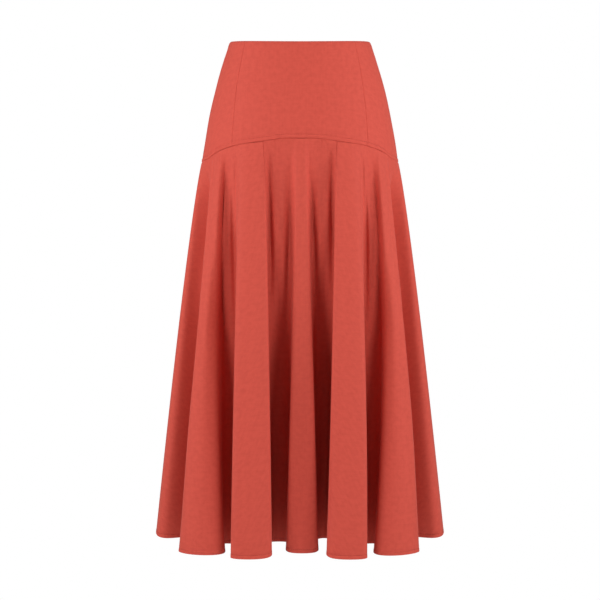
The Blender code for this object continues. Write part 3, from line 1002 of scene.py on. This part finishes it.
@dataclass
class LowerSkirt:
    """The full lower part: seven panels that fall in flutes, with their seams, creases and stitched hem."""

    form: SkirtForm
    finishes: Finishes
    seam: Seam = field(default_factory=lambda: Seam(1.3 * MM, 1.2 * MM))
    yoke_seam: Seam = field(default_factory=lambda: Seam(2.8 * MM, 1.2 * MM))
    hem_stitch: StitchLine = field(default_factory=lambda: StitchLine(trench=0.35 * MM))
    stitch_samples: int = 3000
    stitch_margin: float = 0.003
    columns_per_turn: int = 56
    rows: int = 120
    edge_steps: tuple[float, ...] = (0.0, 0.4 * MM, 0.9 * MM, 1.6 * MM, 3.2 * MM)
    hem_steps: tuple[float, ...] = (
        0.0, 1.2 * MM, 3.5 * MM, 5.2 * MM, 6.0 * MM, 6.8 * MM, 8.0 * MM, 10.5 * MM
    )
    hem_height: float = 6.0 * MM
    hem_fullness: float = 0.25 * MM
    creases: tuple[Crease, ...] = FRONT_CREASES + BACK_CREASES

    def place(self, cut: SkirtCut) -> Shell:
        """Lays one panel's grid on the form.

        Args:
            cut: The panel.

        Returns:
            Its shell, with its seams, creases and hem shaped.
        """
        form = self.form
        nominal = np.linspace(0, 1, len(self.edge_steps) + len(self.hem_steps) + self.rows - 1)

        def turns_for(start: float, distances: Sequence[float]) -> Array:
            """The turns that lie at distances along the cloth, near a turn."""
            moved = form.skirt(start + STEP, nominal) - form.skirt(start, nominal)
            return np.outer(STEP / np.linalg.norm(moved, axis=-1), distances)

        near = cut.start + turns_for(cut.start, self.edge_steps)
        far = cut.end - turns_for(cut.end - STEP, self.edge_steps[::-1])
        count = round((cut.end - cut.start) * self.columns_per_turn)
        share = np.linspace(0, 1, count + 1)[1:-1]
        middle = near[:, -1:] + (far[:, :1] - near[:, -1:]) * share
        turn = np.concatenate([near, middle, far], axis=1)
        height = form.hem_level - form.seam_level(form.seam_angle(turn[0]))
        fall = spread(self.edge_steps, self.hem_steps, self.rows, height)
        shell = Shell(cut.name + "_shell", form.skirt(turn, fall))
        across, down = shell.lengths()
        from_hem = down[-1:] - down
        rolls = (self.seam.roll(across), self.seam.roll(across[:, -1:] - across), self.yoke_seam.roll(down))
        rise = np.minimum.reduce(rolls)
        rise = rise + self.hem_stitch.sink(from_hem - self.hem_height)
        rise = rise + self.hem_fullness * (1 - soft_step(self.hem_height - MM, self.hem_height, from_hem))
        shell.raise_by(rise)
        outwards = form.across(turn)
        shell.points[..., :2] += sum(crease.push(turn, fall, outwards) for crease in self.creases)
        return shell

    def build(self) -> list[bpy.types.Object]:
        """Makes the panels and the hem's stitches.

        Returns:
            The pieces.
        """
        pieces = []
        for cut in SKIRT_CUTS:
            piece = self.place(cut).build(self.finishes.cloth, "cloth")
            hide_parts(cut.name)
            pieces.append(piece)
        for name, start, end in (("hem_stitch_right", 0, 6), ("hem_stitch_left", 6, 12)):
            turn = np.linspace(start + self.stitch_margin, end - self.stitch_margin, self.stitch_samples)
            height = self.form.hem_level - self.form.seam_level(self.form.seam_angle(turn))
            fall = 1 - self.hem_height / height
            line = self.form.skirt(turn, fall)
            down = self.form.skirt(turn, fall + 2 * STEP) - line
            out = unit(np.cross(down, self.form.skirt(turn + STEP, fall) - line))
            lift = CLOTH_THICKNESS / 2 + self.hem_fullness / 2 + self.hem_stitch.seat(0.5)
            pieces.append(self.hem_stitch.build(name, line + out * lift, out, self.finishes.thread))
        return pieces


@dataclass
class Zip:
    """The concealed zip: its woven tapes, the coil between them, the slider and the teardrop pull."""

    form: SkirtForm
    finishes: Finishes
    top: float = 9.0 * MM
    length: float = 160.0 * MM
    tape_width: float = 11.0 * MM
    tape_columns: int = 9
    tape_rows: int = 80
    tape_thickness: float = 0.6 * MM
    slot: float = 1.5 * MM
    to_tape: float = 1.4 * MM
    coil_radius: float = 0.75 * MM
    coil_wire: float = 0.28 * MM
    coil_pitch: float = 1.3 * MM
    coil_steps: int = 10
    coil_depth: float = 1.1 * MM
    coil_flatness: float = 0.6
    coil_below_slider: float = 14.0 * MM
    hinge_drop: float = 14.0 * MM
    hinge_standoff: float = 2.6 * MM
    cloth: float = 1.2 * MM
    pull_bar: float = 0.5 * MM
    pull_length: float = 27.0 * MM
    pull_eye_length: float = 3.2 * MM
    pull_eye_half_width: float = 1.5 * MM
    pull_top_half_width: float = 2.6 * MM
    pull_end_half_width: float = 4.2 * MM
    pull_tip_half_width: float = 0.6 * MM
    pull_thickness: float = 1.0 * MM
    pull_bevel: float = 0.16 * MM
    pull_rim: float = 0.55 * MM
    pull_rim_slope: float = 0.18 * MM
    pull_rim_height: float = 0.2 * MM
    pull_rest_gap: float = 0.4 * MM
    pull_rows: int = 20

    def tape(self, side: Side) -> bpy.types.Object:
        """Makes one tape, a woven strip against the inside of the yoke.

        Args:
            side: Which side of the slot it lies on.

        Returns:
            The piece.
        """
        shares = np.linspace(0, 1, self.tape_columns)[:: -side.value]
        level = np.linspace(self.top, self.top + self.length, self.tape_rows)[:, None]
        reach = self.slot / 2 + self.tape_width * shares[None, :]
        angle = math.pi - side.value * np.arcsin(reach / self.form.girth("side", level))
        name = f"zip_tape_{side.name.lower()}"
        shell = Shell(name + "_shell", self.form.body(angle, level), self.tape_thickness)
        shell.raise_by(np.full(shell.points.shape[:2], -self.to_tape))
        piece = shell.build(self.finishes.tape, "zip_tape")
        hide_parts(name)
        return piece

    def coil(self) -> bpy.types.Object:
        """Makes the closed coil that runs down behind the slot below the slider.

        Returns:
            The piece.
        """
        start = self.top + self.coil_below_slider
        turns = int((self.length - self.coil_below_slider) / self.coil_pitch)
        t = np.arange(turns * self.coil_steps) / self.coil_steps
        below = start + t * self.coil_pitch
        middle = self.form.body(np.full_like(below, math.pi), below)
        x = self.coil_radius * np.cos(2 * np.pi * t)
        depth = self.to_tape + self.coil_depth
        y = middle[:, 1] - depth + self.coil_flatness * self.coil_radius * np.sin(2 * np.pi * t)
        curve = bpy.data.curves.new("zip_coil", "CURVE")
        curve.dimensions = "3D"
        curve.bevel_depth = self.coil_wire
        curve.bevel_resolution = 1
        curve.use_fill_caps = True
        spline = curve.splines.new("POLY")
        spline.points.add(len(t) - 1)
        spline.points.foreach_set("co", np.stack([x, y, -below, np.ones_like(x)], axis=-1).ravel())
        curve.materials.append(self.finishes.thread)
        piece = link_object("zip_coil", curve)
        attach(piece, SKIRT_BODY)
        return piece

    def pull_half_width(self, along: float) -> float:
        """Half the width of the pull at a distance from its axis.

        Args:
            along: Metres from the axis.

        Returns:
            Metres.
        """
        share = min(max(along / self.pull_length, 0), 1)
        width = self.pull_top_half_width + (self.pull_end_half_width - self.pull_top_half_width) * share
        to_end = self.pull_length - along
        if to_end < self.pull_end_half_width:
            rounded = self.pull_end_half_width**2 - (self.pull_end_half_width - to_end) ** 2
            width *= math.sqrt(max(rounded, 0)) / self.pull_end_half_width
        return max(width, self.pull_tip_half_width)

    def pull(self) -> bpy.types.Object:
        """Makes the teardrop pull with its raised rim, hanging from the slider's loop.

        Returns:
            The piece.
        """
        surface = self.form.body(np.array(math.pi), np.array(self.hinge_drop))
        hinge = Vector((0, float(surface[1]) + self.cloth / 2 + self.hinge_standoff, -self.hinge_drop))
        below = self.form.body(np.array(math.pi), np.array(self.hinge_drop + self.pull_length))
        tip = float(below[1]) + self.cloth / 2 + self.pull_rest_gap + self.pull_thickness / 2
        lean = math.asin((tip - hinge.y) / self.pull_length)
        shares = np.sin(np.linspace(0, math.pi / 2, self.pull_rows + 1))
        plate_length = self.pull_length - self.pull_eye_length
        stations = [-self.pull_bar, self.pull_bar, *(self.pull_eye_length + plate_length * shares)]
        bm = bmesh.new()
        bmesh.ops.create_grid(bm, x_segments=3, y_segments=len(stations) - 1, size=0.5)
        for vert in bm.verts:
            across = round((vert.co.x + 0.5) * 3)
            along = stations[round((0.5 - vert.co.y) * (len(stations) - 1))]
            half = self.pull_half_width(along)
            eye = min(self.pull_eye_half_width, half * 0.6)
            vert.co = ((-half, -eye, eye, half)[across], self.pull_thickness / 2, -along)
        hole = [
            face
            for face in bm.faces
            if abs(face.calc_center_median().x) < 1e-6
            and self.pull_bar < -face.calc_center_median().z < self.pull_eye_length
        ]
        bmesh.ops.delete(bm, geom=hole, context="FACES")
        bmesh.ops.recalc_face_normals(bm, faces=bm.faces)
        if bm.faces[:][0].normal.y < 0:
            bmesh.ops.reverse_faces(bm, faces=bm.faces)
        face_plate = [face for face in bm.faces if -face.calc_center_median().z > self.pull_eye_length]
        for width, rise in ((self.pull_rim, 0.0), (self.pull_rim_slope, -self.pull_rim_height)):
            bmesh.ops.inset_region(bm, faces=face_plate, thickness=width, depth=rise, use_even_offset=True)
        modifiers = {
            "SOLIDIFY": {"thickness": self.pull_thickness, "offset": -1},
            "BEVEL": {"width": self.pull_bevel, "segments": 2, "limit_method": "ANGLE"},
        }
        finished = modified(mesh_of(bm, "zip_pull_plate"), modifiers, sharp=35)
        finished.transform(Matrix.Translation(hinge) @ Matrix.Rotation(lean, 4, "X"))
        piece = finish_object("zip_pull_plate", finished, self.finishes.metal, PULL_BODY)
        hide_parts("zip_pull")
        return piece

    def build(self, nodes: dict[str, bpy.types.Object]) -> list[bpy.types.Object]:
        """Makes the zip and finishes its slider, whose solid has its real shape.

        Args:
            nodes: The frame's objects by name.

        Returns:
            The new pieces.
        """
        nodes["zip_slider"].material_slots[0].material = self.finishes.metal
        return [self.tape(Side.RIGHT), self.tape(Side.LEFT), self.coil(), self.pull()]


@dataclass(frozen=True)
class Lamp:
    """A soft square light: where it stands, what it points at, and how strong it is."""

    name: str
    place: tuple[float, float, float]
    aim: tuple[float, float, float]
    size: float
    power: float

    def build(self) -> bpy.types.Object:
        """Makes the light.

        Returns:
            The light's object.
        """
        light = bpy.data.lights.new(self.name, "AREA")
        light.size = self.size
        light.energy = self.power
        lamp = link_object(self.name, light)
        lamp.location = self.place
        way = Vector(self.aim) - Vector(self.place)
        lamp.rotation_euler = way.to_track_quat("-Z", "Y").to_euler()
        return lamp


def seen_white(graph: Graph, lit: bpy.types.NodeSocket, white: bpy.types.NodeSocket, output: str) -> None:
    """Shows the camera a plain white, while the light still meets what is there.

    Args:
        graph: The nodes of the floor's paint or of the surroundings.
        lit: What the light meets.
        white: What the camera sees.
        output: The name of the output node.
    """
    path = graph.add("LightPath").outputs["Is Camera Ray"]
    mix = graph.add("MixShader", {"Fac": path, 1: lit, 2: white})
    graph.set(graph.nodes[output], {"Surface": mix.outputs["Shader"]})


@dataclass
class Studio:
    """The camera at the photograph's angle, a plain pale floor and soft light."""

    eye: tuple[float, float, float] = (0, -3.16, -0.222)
    focal_px: float = 1845.0
    image_px: float = 600.0
    pitch_px: float = 127.0
    sensor: float = 36.0
    floor_level: float = -1.22
    floor_size: float = 14.0
    floor_tone: float = 0.6
    lamps: tuple[Lamp, ...] = (
        Lamp("key_left", (-1.9, -2.5, 0.65), (0, 0, -0.45), 1.2, 40),
        Lamp("key_right", (1.9, -2.5, 0.65), (0, 0, -0.45), 1.2, 40),
        Lamp("side_left", (-1.5, -0.45, 0.2), (0, 0, -0.25), 0.7, 15),
        Lamp("side_right", (1.5, -0.45, 0.2), (0, 0, -0.25), 0.7, 15),
        Lamp("back", (0, 3.4, 1.0), (0, 0, -0.42), 1.4, 50),
    )
    ambient: float = 0.10

    def paint(self) -> bpy.types.Material:
        """Makes the floor's paint, which the camera sees as white as the surroundings.

        Returns:
            The material.
        """
        paint = bpy.data.materials.new("floor_paint")
        graph = Graph(paint)
        shader = graph.nodes["Principled BSDF"]
        graph.set(shader, {"Base Color": (*[self.floor_tone] * 3, 1), "Roughness": 0.9})
        seen = graph.add("Emission", {"Color": WHITE, "Strength": 1.0}).outputs["Emission"]
        seen_white(graph, shader.outputs["BSDF"], seen, "Material Output")
        return paint

    def build(self) -> None:
        """Makes the camera, the floor, the lights and the surroundings."""
        scene = bpy.context.scene
        scene.view_settings.view_transform = "Standard"
        camera = bpy.data.cameras.new("camera")
        camera.sensor_width = self.sensor
        camera.lens = self.sensor * self.focal_px / self.image_px
        eye = link_object("camera", camera)
        eye.location = self.eye
        eye.rotation_euler = (math.pi / 2 - math.atan(self.pitch_px / self.focal_px), 0, 0)
        scene.camera = eye
        bm = bmesh.new()
        bmesh.ops.create_grid(bm, x_segments=8, y_segments=8, size=self.floor_size / 2)
        floor = link_object("floor", mesh_of(bm, "floor"))
        floor.location = (0, 0, self.floor_level)
        floor.data.materials.append(self.paint())
        for lamp in self.lamps:
            lamp.build()
        scene.world = bpy.data.worlds.new("surroundings")
        graph = Graph(scene.world)
        sky = graph.nodes["Background"]
        graph.set(sky, {"Color": WHITE, "Strength": self.ambient})
        seen = graph.add("Background", {"Color": WHITE, "Strength": 1.0}).outputs["Background"]
        seen_white(graph, sky.outputs["Background"], seen, "World Output")


def main() -> None:
    """Builds the skirt from the waist down, then the studio."""
    logging.basicConfig(level=logging.INFO, format="%(message)s")
    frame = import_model()
    form = SkirtForm()
    finishes = Finishes(
        cloth=ClothFinish("terracotta_cloth").build(),
        tape=ClothFinish("tape_weave", (0.50, 0.070, 0.048), (0.42, 0.056, 0.038), sheen=0.1).build(),
        thread=SolidFinish("thread", (0.34, 0.040, 0.028), 0.8, grain_scale=2600).build(),
        metal=SolidFinish("enamelled_metal", (0.50, 0.070, 0.050), 0.4, metallic=0.1).build(),
    )
    pieces = Yoke(form, finishes).build()
    pieces += LowerSkirt(form, finishes).build()
    pieces += Zip(form, finishes).build(frame["nodes"])
    Studio().build()


if __name__ == "__main__":
    main()
